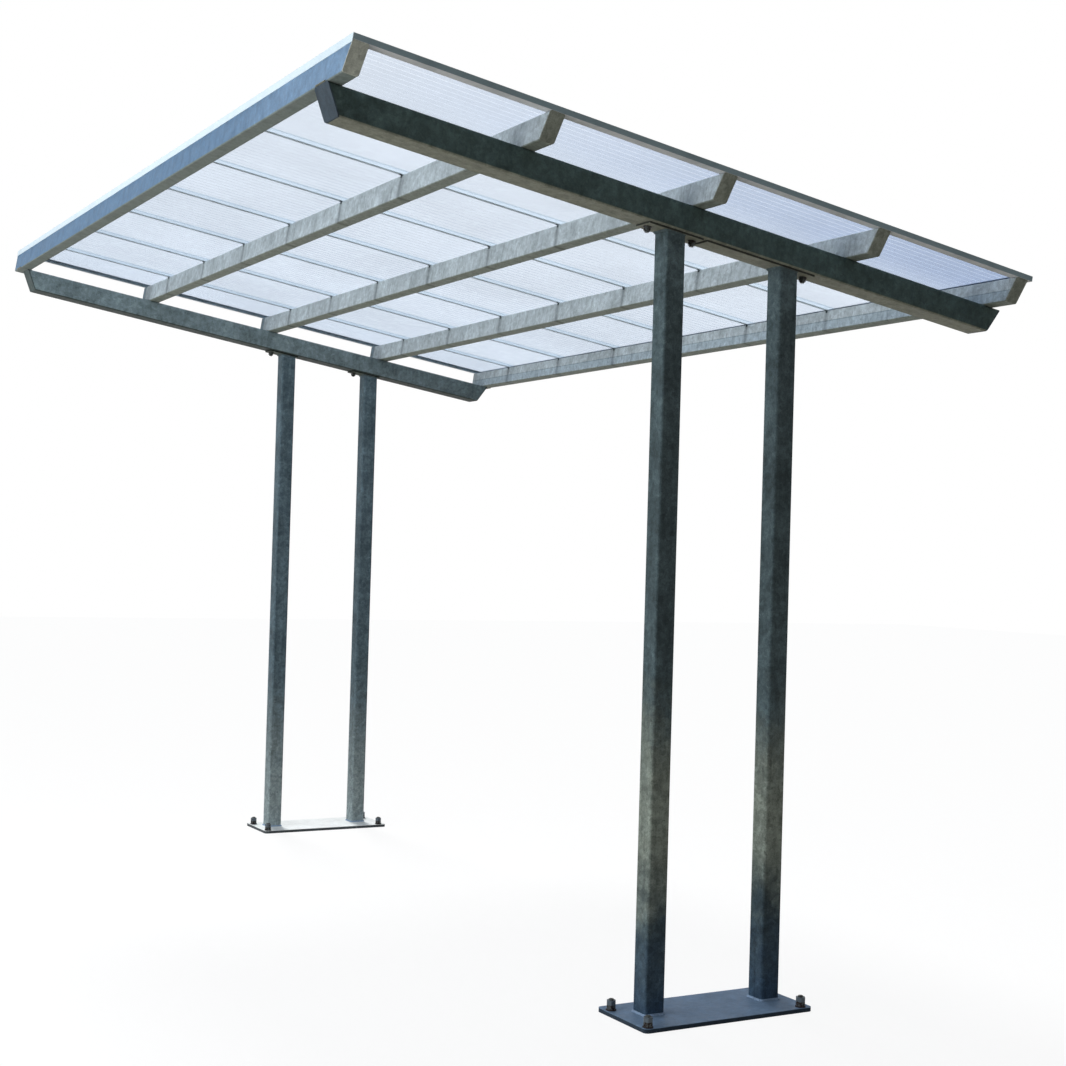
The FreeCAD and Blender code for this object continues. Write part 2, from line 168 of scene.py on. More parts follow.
class StageSettings(bpy.types.PropertyGroup):
    camera_place: bpy.props.FloatVectorProperty(
        name="Camera place", description="Where the camera stands", size=3, unit="LENGTH",
        subtype="TRANSLATION", default=(-3.34077, -6.83733, 1.56930))
    camera_turn: bpy.props.FloatVectorProperty(
        name="Camera turn", description="Turn about X, Y and Z", size=3, unit="ROTATION", subtype="EULER",
        default=tuple(math.radians(a) for a in (90.90726, -1.67755, -29.60003)))
    lens_mm: bpy.props.FloatProperty(name="Lens", description="Focal length on a 36 mm sensor",
                                     default=56.1588, unit="CAMERA", min=1.0)
    floor_side: length_setting("Floor side", 60.0, "Side of the square floor")
    floor_colour: colour_setting("Floor", "#a39f94", "The floor as its bounced light sees it")
    floor_white: share_setting("Floor whiteness", 0.9, "Share of plain white in the floor that is seen")
    sky_colour: colour_setting("Sky", "#e3ecf7", "Soft light from all round")
    sky_level: bpy.props.FloatProperty(name="Sky level", description="Strength of the light from all round",
                                       default=0.24, min=0.0)
    sun_level: bpy.props.FloatProperty(name="Back light", description="Strength of the light from behind",
                                       default=2.6, min=0.0)
    sun_tilt: angle_setting("Back light tilt", -42, "Turn of the back light about X")
    sun_turn: angle_setting("Back light turn", -6, "Turn of the back light about Z")
    sun_spread: angle_setting("Back light spread", 14, "How wide the back light looks")
    side_place: bpy.props.FloatVectorProperty(
        name="Side light place", description="Where the side light stands", size=3, unit="LENGTH",
        subtype="TRANSLATION", default=(-7.0, -0.5, 2.6))
    side_tilt: angle_setting("Side light tilt", -84, "Turn of the side light about Y")
    side_width: length_setting("Side light width", 5.0, "Short side of the side light")
    side_length: length_setting("Side light length", 8.0, "Long side of the side light")
    side_colour: bpy.props.FloatVectorProperty(
        name="Side light colour", description="Slightly blue, as skylight is", size=3, subtype="COLOR",
        min=0.0, max=1.0, default=(0.86, 0.94, 1.0))
    side_level: bpy.props.FloatProperty(name="Side light", description="Power of the light from the left",
                                        default=380.0, min=0.0, unit="POWER")


SETTINGS = {"carport_steel": SteelSettings, "carport_roof": RoofSettings,
            "carport_bolts": BoltSettings, "carport_stage": StageSettings}


# Shader helpers

def node(tree, kind, values=None, **settings):
    """Adds a shader node. settings are its own fields; values are its inputs, as numbers or as links."""
    made = tree.nodes.new(kind)
    for field, value in settings.items():
        setattr(made, field, value)
    for key, value in (values or {}).items():
        if isinstance(value, bpy.types.NodeSocket):
            tree.links.new(value, made.inputs[key])
        else:
            made.inputs[key].default_value = value
    return made


def maths(tree, operation, *inputs):
    return node(tree, "ShaderNodeMath", dict(enumerate(inputs)), operation=operation)


def noise(tree, place, scale, detail, roughness):
    return node(tree, "ShaderNodeTexNoise", {"Vector": place, "Scale": scale, "Detail": detail,
                                             "Roughness": roughness}).outputs["Fac"]


def colour_mix(tree, share, first, second):
    """Mixes two colours; its result is outputs[MIXED]."""
    return node(tree, "ShaderNodeMix", {MIX: share, FIRST: first, SECOND: second}, data_type="RGBA")


SPANGLE_MM = 14


def new_material(name):
    material = bpy.data.materials.new(name)
    material.use_nodes = True
    tree = material.node_tree
    tree.nodes.clear()
    return material, tree, node(tree, "ShaderNodeTexCoord").outputs["Object"]


def per_metre(size_mm):
    """Scale of a texture whose features are size_mm wide, on coordinates in metres."""
    return 1000.0 / size_mm


# Factor, A and B of a colour Mix node, and its result
MIX, FIRST, SECOND, MIXED = 0, 6, 7, 2

# A zone of another tone on a steel part. It comes in from start to full and goes out from fade to end, along
# X, Y or Z, or along "roof", the height square to the roof. waver moves its edges in and out with the clouds.
Zone = namedtuple("Zone", "axis start full fade end share colour waver", defaults=(0.0,))
FAR_OFF = 100.0


def lowest_on_roof_normal(name):
    return min(ROOF_NORMAL.dot(vertex.co) for vertex in NODES[name].data.vertices)


def highest_on_roof_normal(name):
    return max(ROOF_NORMAL.dot(vertex.co) for vertex in NODES[name].data.vertices)


def joint_rhythm():
    """Place along Y of the first roof joint, and the spacing of the joints."""
    middles = sorted((low.y + high.y) / 2 for low, high in solid_boxes("joint_profiles"))
    return middles[0], (middles[-1] - middles[0]) / (len(middles) - 1)


def distance_to_joint(tree, along_y, start, pitch):
    """Distance along Y from the nearest of the roof joints, which repeat every pitch from start."""
    along = maths(tree, "SUBTRACT", along_y, start - pitch / 2)
    cell = maths(tree, "FLOORED_MODULO", along.outputs[0], pitch)
    away = maths(tree, "SUBTRACT", cell.outputs[0], pitch / 2)
    return node(tree, "ShaderNodeMath", {0: away.outputs[0]}, operation="ABSOLUTE").outputs[0]


def galvanised_steel(name, colour, mottle=0.5, streaks=0.5, streak_mm=(26, 26, 240), roughness=0.55,
                     zones=(), drips=None):
    """Hot-dip galvanised steel, left outdoors: zinc crystals dulled to a matt patina, with cloudy tarnish
    and rain streaks. The eye sees soft mottling, a faint sheen on the crystals and no mirror reflection.
    zones are parts of another tone; drips is the place and spacing along Y of the roof joints that drip."""
    material, tree, place = new_material(name)
    crystals = node(tree, "ShaderNodeTexVoronoi", {"Vector": place, "Scale": per_metre(SPANGLE_MM),
                                                   "Randomness": 1.0}, feature="F1")
    crystal_tone = node(tree, "ShaderNodeSeparateColor", {"Color": crystals.outputs["Color"]}).outputs[0]
    clouds = noise(tree, place, per_metre(150), 6.0, 0.66)
    blotches = node(tree, "ShaderNodeTexNoise", {"Vector": place, "Scale": per_metre(38), "Detail": 3.0,
                                                 "Roughness": 0.55, "Distortion": 0.6}).outputs["Fac"]
    stretched = node(tree, "ShaderNodeMapping", {"Vector": place,
                                                 "Scale": tuple(per_metre(s) for s in streak_mm)})
    runs = node(tree, "ShaderNodeTexNoise", {"Vector": stretched.outputs[0], "Scale": 1.0, "Detail": 5.0,
                                             "Roughness": 0.65}).outputs["Fac"]
    grain = noise(tree, place, per_metre(6), 4.0, 0.7)
    axes = node(tree, "ShaderNodeSeparateXYZ", {"Vector": place}).outputs
    heights = node(tree, "ShaderNodeVectorMath", {0: place, 1: ROOF_NORMAL}, operation="DOT_PRODUCT")

    base = Vector(colour)
    cloud_share = node(tree, "ShaderNodeMapRange", {"Value": clouds, "From Min": 0.36, "From Max": 0.64})
    finish_colour = node(tree, "ShaderNodeMix", {
        MIX: cloud_share.outputs[0], FIRST: opaque(base * (1 - 0.34 * mottle)),
        SECOND: opaque(base * (1 + 0.22 * mottle))}, data_type="RGBA").outputs[MIXED]

    for zone in zones:
        along = heights.outputs["Value"] if zone.axis == "roof" else axes[zone.axis]
        wavy = maths(tree, "MULTIPLY_ADD", clouds, zone.waver, along)
        centred = maths(tree, "SUBTRACT", wavy.outputs[0], zone.waver / 2)
        rise = node(tree, "ShaderNodeMapRange", {"Value": centred.outputs[0], "From Min": zone.start,
                                                 "From Max": zone.full}, interpolation_type="SMOOTHSTEP")
        fall = node(tree, "ShaderNodeMapRange", {"Value": centred.outputs[0], "From Min": zone.fade,
                                                 "From Max": zone.end, "To Min": zone.share, "To Max": 0.0},
                    interpolation_type="SMOOTHSTEP")
        share = maths(tree, "MULTIPLY", rise.outputs[0], fall.outputs[0])
        finish_colour = node(tree, "ShaderNodeMix", {
            MIX: share.outputs[0], FIRST: finish_colour, SECOND: opaque(zone.colour)},
            data_type="RGBA").outputs[MIXED]

    crystal_share = node(tree, "ShaderNodeMapRange", {"Value": crystal_tone, "To Min": 1 - 0.22 * mottle,
                                                      "To Max": 1 + 0.22 * mottle})
    grain_share = node(tree, "ShaderNodeMapRange", {"Value": grain, "From Min": 0.3, "From Max": 0.7,
                                                    "To Min": 1 - 0.3 * mottle, "To Max": 1 + 0.3 * mottle})
    blotch_share = node(tree, "ShaderNodeMapRange", {"Value": blotches, "From Min": 0.35, "From Max": 0.65,
                                                     "To Min": 1 - 0.2 * mottle, "To Max": 1 + 0.2 * mottle})
    fine_share = maths(tree, "MULTIPLY", crystal_share.outputs[0], grain_share.outputs[0])
    tone_share = maths(tree, "MULTIPLY", fine_share.outputs[0], blotch_share.outputs[0])
    spangled = node(tree, "ShaderNodeVectorMath", {0: finish_colour, "Scale": tone_share.outputs[0]},
                    operation="SCALE").outputs[0]
    run_share = node(tree, "ShaderNodeMapRange", {"Value": runs, "From Min": 0.48, "From Max": 0.7,
                                                  "To Min": 1.0, "To Max": 1 - 0.5 * streaks},
                     interpolation_type="SMOOTHSTEP").outputs[0]
    if drips:
        wavy = maths(tree, "MULTIPLY_ADD", runs, 0.05, distance_to_joint(tree, axes["Y"], *drips))
        mark = node(tree, "ShaderNodeMapRange", {"Value": wavy.outputs[0], "From Min": 0.022,
                                                 "From Max": 0.05, "To Min": 0.55, "To Max": 1.0},
                    interpolation_type="SMOOTHSTEP")
        run_share = maths(tree, "MULTIPLY", run_share, mark.outputs[0]).outputs[0]
    weathered = node(tree, "ShaderNodeVectorMath", {0: spangled, "Scale": run_share}, operation="SCALE")

    shine = node(tree, "ShaderNodeMapRange", {"Value": crystal_tone, "To Min": roughness - 0.1,
                                              "To Max": roughness + 0.12})
    relief = node(tree, "ShaderNodeBump", {"Height": grain, "Strength": 0.2, "Distance": 0.0006})
    shader = node(tree, "ShaderNodeBsdfPrincipled", {
        "Base Color": weathered.outputs[0], "Roughness": shine.outputs[0],
        "Specular IOR Level": 0.06, "Normal": relief.outputs[0]})
    node(tree, "ShaderNodeOutputMaterial", {"Surface": shader.outputs[0]})
    return material


def fluted_polycarbonate(looks):
    """Extruded multiwall polycarbonate in an opal grade: a milky top skin, clear below it, with upright ribs
    between the skins. The eye sees an even pale glow, fine parallel rib lines and a soft gloss on top."""
    material, tree, place = new_material("extruded multiwall polycarbonate, opal")
    haze = noise(tree, place, per_metre(600), 3.0, 0.5)
    dirt = noise(tree, place, per_metre(60), 5.0, 0.6)
    heights = node(tree, "ShaderNodeVectorMath", {0: place, 1: ROOF_NORMAL}, operation="DOT_PRODUCT")
    top = highest_on_roof_normal("roof_board_1")
    on_top = node(tree, "ShaderNodeMapRange", {"Value": heights.outputs["Value"], "From Min": top - 0.8 * MM,
                                               "From Max": top - 0.4 * MM}).outputs[0]
    facing = node(tree, "ShaderNodeNewGeometry").outputs["Normal"]
    across = node(tree, "ShaderNodeSeparateXYZ", {"Vector": facing}).outputs["Y"]
    upright = node(tree, "ShaderNodeMath", {0: across}, operation="ABSOLUTE")
    axes = node(tree, "ShaderNodeSeparateXYZ", {"Vector": place}).outputs
    # The boards' closed sides, inside the joints, are cleaner than the ribs
    in_field = node(tree, "ShaderNodeMapRange", {
        "Value": distance_to_joint(tree, axes["Y"], *joint_rhythm()), "From Min": 10 * MM,
        "From Max": 12 * MM})
    across_board = node(tree, "ShaderNodeMapRange", {"Value": upright.outputs[0], "From Min": 0.4,
                                                     "From Max": 0.6})
    on_rib = maths(tree, "MULTIPLY", across_board.outputs[0], in_field.outputs[0]).outputs[0]

    hazy = node(tree, "ShaderNodeMapRange", {"Value": haze, "From Min": 0.35, "From Max": 0.65})
    tint = colour_mix(tree, hazy.outputs[0], opaque(Vector(looks.board_colour) * 0.9),
                      opaque(looks.board_colour))
    # Dirt that the rain has washed towards the low end of the overhang beyond the near beam
    near_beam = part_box("near_beam")
    washed = node(tree, "ShaderNodeMapRange", {"Value": axes["X"], "From Min": near_beam[0][0],
                                               "From Max": near_beam[1][0], "To Max": 0.75})
    overhang = node(tree, "ShaderNodeMapRange", {"Value": axes["Y"], "From Min": near_beam[1][1],
                                                 "From Max": near_beam[1][1] + 0.5, "To Min": 1.0,
                                                 "To Max": 0.0})
    dirty = maths(tree, "MULTIPLY", washed.outputs[0], overhang.outputs[0])
    dulled = colour_mix(tree, dirty.outputs[0], tint.outputs[MIXED], opaque(looks.washed_colour))
    toned = colour_mix(tree, on_rib, dulled.outputs[MIXED], opaque(looks.rib_colour)).outputs[MIXED]
    shine = node(tree, "ShaderNodeMapRange", {"Value": dirt, "From Min": 0.35, "From Max": 0.7,
                                              "To Min": 0.18, "To Max": 0.34})
    skin = node(tree, "ShaderNodeBsdfPrincipled", {"Base Color": toned, "Roughness": shine.outputs[0],
                                                   "IOR": 1.58, "Specular IOR Level": 0.5})
    glow = node(tree, "ShaderNodeBsdfTranslucent", {"Color": toned})
    milky = node(tree, "ShaderNodeMixShader", {0: 0.78, 1: skin.outputs[0], 2: glow.outputs[0]})
    # The flutes at the near edge are the dustiest and their ribs dim the light most. Further in, the skins do.
    dust = node(tree, "ShaderNodeMapRange", {"Value": axes["Y"], "From Min": near_beam[0][1] - 0.2,
                                             "From Max": 1.2, "To Min": 0.0, "To Max": 1.0})
    rib_dim = colour_mix(tree, dust.outputs[0], opaque(looks.dusty_rib_colour),
                         opaque(looks.clean_rib_colour))
    washed_rib = colour_mix(tree, dirty.outputs[0], rib_dim.outputs[MIXED],
                            opaque(looks.washed_rib_colour))
    skin_dim = colour_mix(tree, dust.outputs[0], opaque(looks.clear_colour), opaque(looks.skin_tint))
    upright_dim = colour_mix(tree, in_field.outputs[0], opaque(looks.clear_colour),
                             washed_rib.outputs[MIXED])
    passed = colour_mix(tree, across_board.outputs[0], skin_dim.outputs[MIXED],
                        upright_dim.outputs[MIXED])
    clear = node(tree, "ShaderNodeBsdfTransparent", {"Color": passed.outputs[MIXED]})
    rib_or_skin = node(tree, "ShaderNodeMapRange", {"Value": on_rib, "To Min": looks.skin_clear,
                                                    "To Max": looks.rib_clear})
    openness = node(tree, "ShaderNodeMapRange", {"Value": on_top, "To Min": rib_or_skin.outputs[0],
                                                 "To Max": looks.top_skin_clear})
    shader = node(tree, "ShaderNodeMixShader", {0: openness.outputs[0], 1: milky.outputs[0],
                                                2: clear.outputs[0]})
    node(tree, "ShaderNodeOutputMaterial", {"Surface": shader.outputs[0]})
    return material


def clear_joint_plastic(colour, clear_colour):
    """Extruded clear polycarbonate of the joint profiles, greyed by dirt on the lower flange. The eye sees a
    thin grey line, darker than the boards, that still lets some sky through."""
    material, tree, place = new_material("extruded clear polycarbonate, joint profiles")
    dirt = noise(tree, place, per_metre(80), 4.0, 0.6)
    share = node(tree, "ShaderNodeMapRange", {"Value": dirt, "From Min": 0.4, "From Max": 0.65})
    toned = colour_mix(tree, share.outputs[0], opaque(colour), opaque(Vector(colour) * 0.7))
    skin = node(tree, "ShaderNodeBsdfPrincipled", {"Base Color": toned.outputs[MIXED], "Roughness": 0.3,
                                                   "IOR": 1.58, "Specular IOR Level": 0.4})
    glow = node(tree, "ShaderNodeBsdfTranslucent", {"Color": toned.outputs[MIXED]})
    milky = node(tree, "ShaderNodeMixShader", {0: 0.75, 1: skin.outputs[0], 2: glow.outputs[0]})
    clear = node(tree, "ShaderNodeBsdfTransparent", {"Color": opaque(clear_colour)})
    heights = node(tree, "ShaderNodeVectorMath", {0: place, 1: ROOF_NORMAL}, operation="DOT_PRODUCT")
    foot = lowest_on_roof_normal("joint_profiles")
    openness = node(tree, "ShaderNodeMapRange", {
        "Value": heights.outputs["Value"], "From Min": foot + 2.0 * MM, "From Max": foot + 3.0 * MM,
        "To Min": 0.22, "To Max": 0.98})
    shader = node(tree, "ShaderNodeMixShader", {0: openness.outputs[0], 1: milky.outputs[0],
                                                2: clear.outputs[0]})
    node(tree, "ShaderNodeOutputMaterial", {"Surface": shader.outputs[0]})
    return material


def mill_aluminium(name, colour, roughness, dirt_share, under_height=-FAR_OFF, lit_under_colour=(0, 0, 0)):
    """Folded aluminium, unpainted: faint lines along its length under a dull oxide, with rain dirt. The eye
    sees an even soft grey with cloudy stains. The faces below under_height, square to the roof, are the
    undersides, painted paler with lit_under_colour as painted light."""
    material, tree, place = new_material(name)
    lengthwise = node(tree, "ShaderNodeMapping", {"Vector": place,
                                                  "Scale": (per_metre(300), per_metre(4), per_metre(4))})
    lines = node(tree, "ShaderNodeTexNoise", {"Vector": lengthwise.outputs[0], "Scale": 1.0,
                                              "Detail": 3.0}).outputs["Fac"]
    clouds = noise(tree, place, per_metre(130), 5.0, 0.6)
    share = node(tree, "ShaderNodeMapRange", {"Value": clouds, "From Min": 0.42, "From Max": 0.7,
                                              "To Max": dirt_share}, interpolation_type="SMOOTHSTEP")
    tone = colour_mix(tree, lines, opaque(Vector(colour) * 0.9), opaque(Vector(colour) * 1.06))
    heights = node(tree, "ShaderNodeVectorMath", {0: place, 1: ROOF_NORMAL}, operation="DOT_PRODUCT")
    # Painted light: the undersides take lit_under_colour
    below = node(tree, "ShaderNodeMapRange", {
        "Value": heights.outputs["Value"], "From Min": under_height, "From Max": under_height + 0.3 * MM,
        "To Min": 1.0, "To Max": 0.0})
    sided = colour_mix(tree, below.outputs[0], tone.outputs[MIXED], opaque(lit_under_colour))
    stained = colour_mix(tree, share.outputs[0], sided.outputs[MIXED], opaque(Vector(colour) * 0.45))
    shine = node(tree, "ShaderNodeMapRange", {"Value": clouds, "To Min": roughness - 0.08,
                                              "To Max": roughness + 0.12})
    shader = node(tree, "ShaderNodeBsdfPrincipled", {
        "Base Color": stained.outputs[MIXED], "Roughness": shine.outputs[0],
        "Specular IOR Level": 0.2})
    node(tree, "ShaderNodeOutputMaterial", {"Surface": shader.outputs[0]})
    return material


def rusted_zinc_plate(name, zinc, rust, rust_share):
    """Zinc-plated bolts whose thin plating has gone: dull grey with brown rust in patches. The eye sees
    dark brown blooms that are rougher than the metal."""
    material, tree, place = new_material(name)
    blooms = noise(tree, place, per_metre(9), 6.0, 0.65)
    share = node(tree, "ShaderNodeMapRange", {"Value": blooms, "From Min": 0.62 - rust_share * 0.3,
                                              "From Max": 0.74 - rust_share * 0.3},
                 interpolation_type="SMOOTHSTEP")
    tone = colour_mix(tree, share.outputs[0], opaque(zinc), opaque(rust))
    shine = node(tree, "ShaderNodeMapRange", {"Value": share.outputs[0], "To Min": 0.42, "To Max": 0.85})
    relief = node(tree, "ShaderNodeBump", {"Height": blooms, "Strength": 0.3, "Distance": 0.0005})
    shader = node(tree, "ShaderNodeBsdfPrincipled", {
        "Base Color": tone.outputs[MIXED], "Metallic": 0.15, "Roughness": shine.outputs[0],
        "Specular IOR Level": 0.2, "Normal": relief.outputs[0]})
    node(tree, "ShaderNodeOutputMaterial", {"Surface": shader.outputs[0]})
    return material


def background_share(tree):
    """1 for rays that see the plain background: the camera's, mirrored ones and those through clear stuff."""
    path = node(tree, "ShaderNodeLightPath").outputs
    seen = maths(tree, "MAXIMUM", path["Is Camera Ray"], path["Is Glossy Ray"])
    return maths(tree, "MAXIMUM", seen.outputs[0], path["Is Transmission Ray"]).outputs[0]


def finish(material, *names):
    """Gives a material to CAD nodes or pieces."""
    for name in names:
        thing = NODES.get(name) or bpy.data.objects[name]
        thing.data.materials.clear()
        thing.data.materials.append(material)


# Mesh helpers

def select_only(*things):
    bpy.ops.object.select_all(action="DESELECT")
    for thing in things:
        thing.select_set(True)
    bpy.context.view_layer.objects.active = things[0]


def solid_boxes(name):
    """Lowest and highest corner of each separate solid of a CAD node."""
    mesh = NODES[name].data
    key_of, parent = {}, []
    spot = []
    for vertex in mesh.vertices:
        key = tuple(round(c, 5) for c in vertex.co)
        if key not in key_of:
            key_of[key] = len(parent)
            parent.append(len(parent))
        spot.append(key_of[key])

    def root_of(k):
        while parent[k] != k:
            parent[k] = parent[parent[k]]
            k = parent[k]
        return k

    for face in mesh.polygons:
        first, *rest = [root_of(spot[v]) for v in face.vertices]
        for other in rest:
            parent[root_of(other)] = root_of(first)
    groups = {}
    for key, k in key_of.items():
        groups.setdefault(root_of(k), []).append(key)
    boxes = []
    for points in groups.values():
        low = Vector([min(p[a] for p in points) for a in range(3)])
        high = Vector([max(p[a] for p in points) for a in range(3)])
        boxes.append((low, high))
    return sorted(boxes, key=lambda box: tuple(round(c, 4) for c in box[0]))


def copies_at(pattern, places, name, turn=0.0):
    """Copies a piece to each place, turned about Y, and joins the copies into one piece at the origin."""
    made = []
    for place in places:
        copy = pattern.copy()
        copy.data = pattern.data.copy()
        bpy.context.collection.objects.link(copy)
        copy.location = place
        copy.rotation_euler = (0.0, turn, 0.0)
        made.append(copy)
    select_only(*made)
    bpy.ops.object.join()
    joined = bpy.context.view_layer.objects.active
    bpy.ops.object.transform_apply(location=True, rotation=True, scale=True)
    joined.name = name
    joined.data.name = name
    bpy.data.objects.remove(pattern)
    return joined


def apply_modifiers(thing):
    select_only(thing)
    for modifier in list(thing.modifiers):
        bpy.ops.object.modifier_apply(modifier=modifier.name)


def hexagon_nut(width, height, bore):
    """Hexagon nut about the origin, standing on Z: a six-sided prism whose corners are turned off top and
    bottom by a bevelled cylinder, with a bore."""
    bpy.ops.object.select_all(action="DESELECT")
    bpy.ops.mesh.primitive_cylinder_add(vertices=6, radius=width / math.sqrt(3), depth=height,
                                        rotation=(0, 0, math.radians(30)))
    nut = bpy.context.object
    bpy.ops.object.transform_apply(rotation=True)
    bpy.ops.mesh.primitive_cylinder_add(vertices=48, radius=width / math.sqrt(3) * 1.005, depth=height)
    turned = bpy.context.object
    bevel = turned.modifiers.new("turned corners", "BEVEL")
    bevel.width = width * 0.03
    bevel.segments = 1
    apply_modifiers(turned)
    bpy.ops.mesh.primitive_cylinder_add(vertices=24, radius=bore / 2, depth=height * 2)
    drill = bpy.context.object
    for operation, tool in (("INTERSECT", turned), ("DIFFERENCE", drill)):
        cut = nut.modifiers.new(operation.lower(), "BOOLEAN")
        cut.operation = operation
        cut.object = tool
        cut.solver = "EXACT"
        apply_modifiers(nut)
        bpy.data.objects.remove(tool)
    return nut


def threaded_stud(diameter, length, thread_length, pitch):
    """Stud from the origin up, plain below and threaded above, with a turned tip."""
    bpy.ops.object.select_all(action="DESELECT")
    plain = length - thread_length
    bpy.ops.mesh.primitive_cylinder_add(vertices=24, radius=diameter / 2, depth=plain,
                                        location=(0, 0, plain / 2))
    stud = bpy.context.object
    bpy.ops.object.transform_apply(location=True)
    for face in stud.data.polygons:
        face.select = face.normal.z > 0.9
    for edge in stud.data.edges:
        edge.select = False
    for vertex in stud.data.vertices:
        vertex.select = vertex.co.z > plain - 0.1 * MM
    bpy.ops.object.mode_set(mode="EDIT")
    bpy.ops.mesh.select_mode(type="FACE")
    root = 1 - 1.1 * pitch / diameter
    turns = int(thread_length / pitch) - 1
    for step in range(turns * 2):
        bpy.ops.mesh.extrude_region_move(TRANSFORM_OT_translate={"value": (0, 0, pitch / 2)})
        ratio = root if step % 2 == 0 else 1 / root
        bpy.ops.transform.resize(value=(ratio, ratio, 1))
    bpy.ops.mesh.extrude_region_move(
        TRANSFORM_OT_translate={"value": (0, 0, thread_length - turns * pitch)})
    bpy.ops.transform.resize(value=(0.8, 0.8, 1))
    bpy.ops.object.mode_set(mode="OBJECT")
    return stud


def weld_beads(name, source, grain, relief, cell):
    """Weld metal over a CAD weld: its faces are divided finely and raised and sunk like laid beads."""
    piece = NODES[source].copy()
    piece.data = NODES[source].data.copy()
    for key in list(piece.keys()):
        del piece[key]
    piece.parent = None
    bpy.context.collection.objects.link(piece)
    piece.name = name
    piece.data.name = name
    select_only(piece)
    bpy.ops.object.mode_set(mode="EDIT")
    bpy.ops.mesh.select_all(action="SELECT")
    bpy.ops.mesh.remove_doubles(threshold=0.00001)
    bpy.ops.object.mode_set(mode="OBJECT")
    divided = piece.modifiers.new("divided", "REMESH")
    divided.mode = "VOXEL"
    divided.voxel_size = cell
    pattern = bpy.data.textures.new(name, "CLOUDS")
    pattern.noise_scale = grain
    pattern.noise_depth = 1
    rippled = piece.modifiers.new("rippled", "DISPLACE")
    rippled.texture = pattern
    rippled.texture_coords = "LOCAL"
    rippled.strength = relief
    rippled.mid_level = 0.5
    apply_modifiers(piece)
    bpy.ops.object.shade_smooth()
    return piece


def settle(piece, slot, *stands_for):
    """Ties a finished piece to the carport's body and hides the nodes it stands for; slot is not used."""
    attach(piece, "root")
    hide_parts(*stands_for)


# Operators

class CARPORT_OT_stage(bpy.types.Operator):
    """Pale floor, soft light and the camera"""
    bl_idname = "carport.stage"
    bl_label = "Stage"

    def execute(self, context):
        looks = context.scene.carport_stage
        scene = context.scene
        scene.view_settings.view_transform = "Standard"
        # A line of sight passes up to a dozen skins and ribs of the boards
        scene.cycles.transparent_max_bounces = 32

        bpy.ops.object.select_all(action="DESELECT")
        bpy.ops.mesh.primitive_plane_add(size=looks.floor_side, location=(0, 0, 0))
        floor = context.object
        floor.name = "floor"
        material, tree, _ = new_material("pale floor")
        shown = background_share(tree)
        colour = colour_mix(tree, shown, opaque(looks.floor_colour), (1, 1, 1, 1))
        matt = node(tree, "ShaderNodeBsdfDiffuse", {"Color": colour.outputs[MIXED]})
        white = node(tree, "ShaderNodeEmission", {"Color": (1, 1, 1, 1), "Strength": 1.0})
        share = maths(tree, "MULTIPLY", shown, looks.floor_white)
        mixed = node(tree, "ShaderNodeMixShader", {0: share.outputs[0], 1: matt.outputs[0],
                                                   2: white.outputs[0]})
        node(tree, "ShaderNodeOutputMaterial", {"Surface": mixed.outputs[0]})
        floor.data.materials.append(material)

        world = bpy.data.worlds.new("soft light")
        scene.world = world
        world.use_nodes = True
        tree = world.node_tree
        tree.nodes.clear()
        soft = node(tree, "ShaderNodeBackground", {"Color": opaque(looks.sky_colour),
                                                   "Strength": looks.sky_level})
        white = node(tree, "ShaderNodeBackground", {"Color": (1, 1, 1, 1), "Strength": 1.0})
        mixed = node(tree, "ShaderNodeMixShader", {0: background_share(tree), 1: soft.outputs[0],
                                                   2: white.outputs[0]})
        node(tree, "ShaderNodeOutputWorld", {"Surface": mixed.outputs[0]})

        bpy.ops.object.light_add(type="SUN", rotation=(looks.sun_tilt, 0, looks.sun_turn))
        back_light = context.object
        back_light.name = "back light"
        back_light.data.energy = looks.sun_level
        back_light.data.angle = looks.sun_spread
        bpy.ops.object.light_add(type="AREA", location=looks.side_place, rotation=(0, looks.side_tilt, 0))
        side_light = context.object
        side_light.name = "side light"
        side_light.data.shape = "RECTANGLE"
        side_light.data.size = looks.side_width
        side_light.data.size_y = looks.side_length
        side_light.data.energy = looks.side_level
        side_light.data.color = looks.side_colour

        bpy.ops.object.camera_add(location=looks.camera_place, rotation=looks.camera_turn)
        camera = context.object
        camera.data.sensor_width = 36.0
        camera.data.lens = looks.lens_mm
        camera.data.clip_end = 200.0
        scene.camera = camera
        return {"FINISHED"}


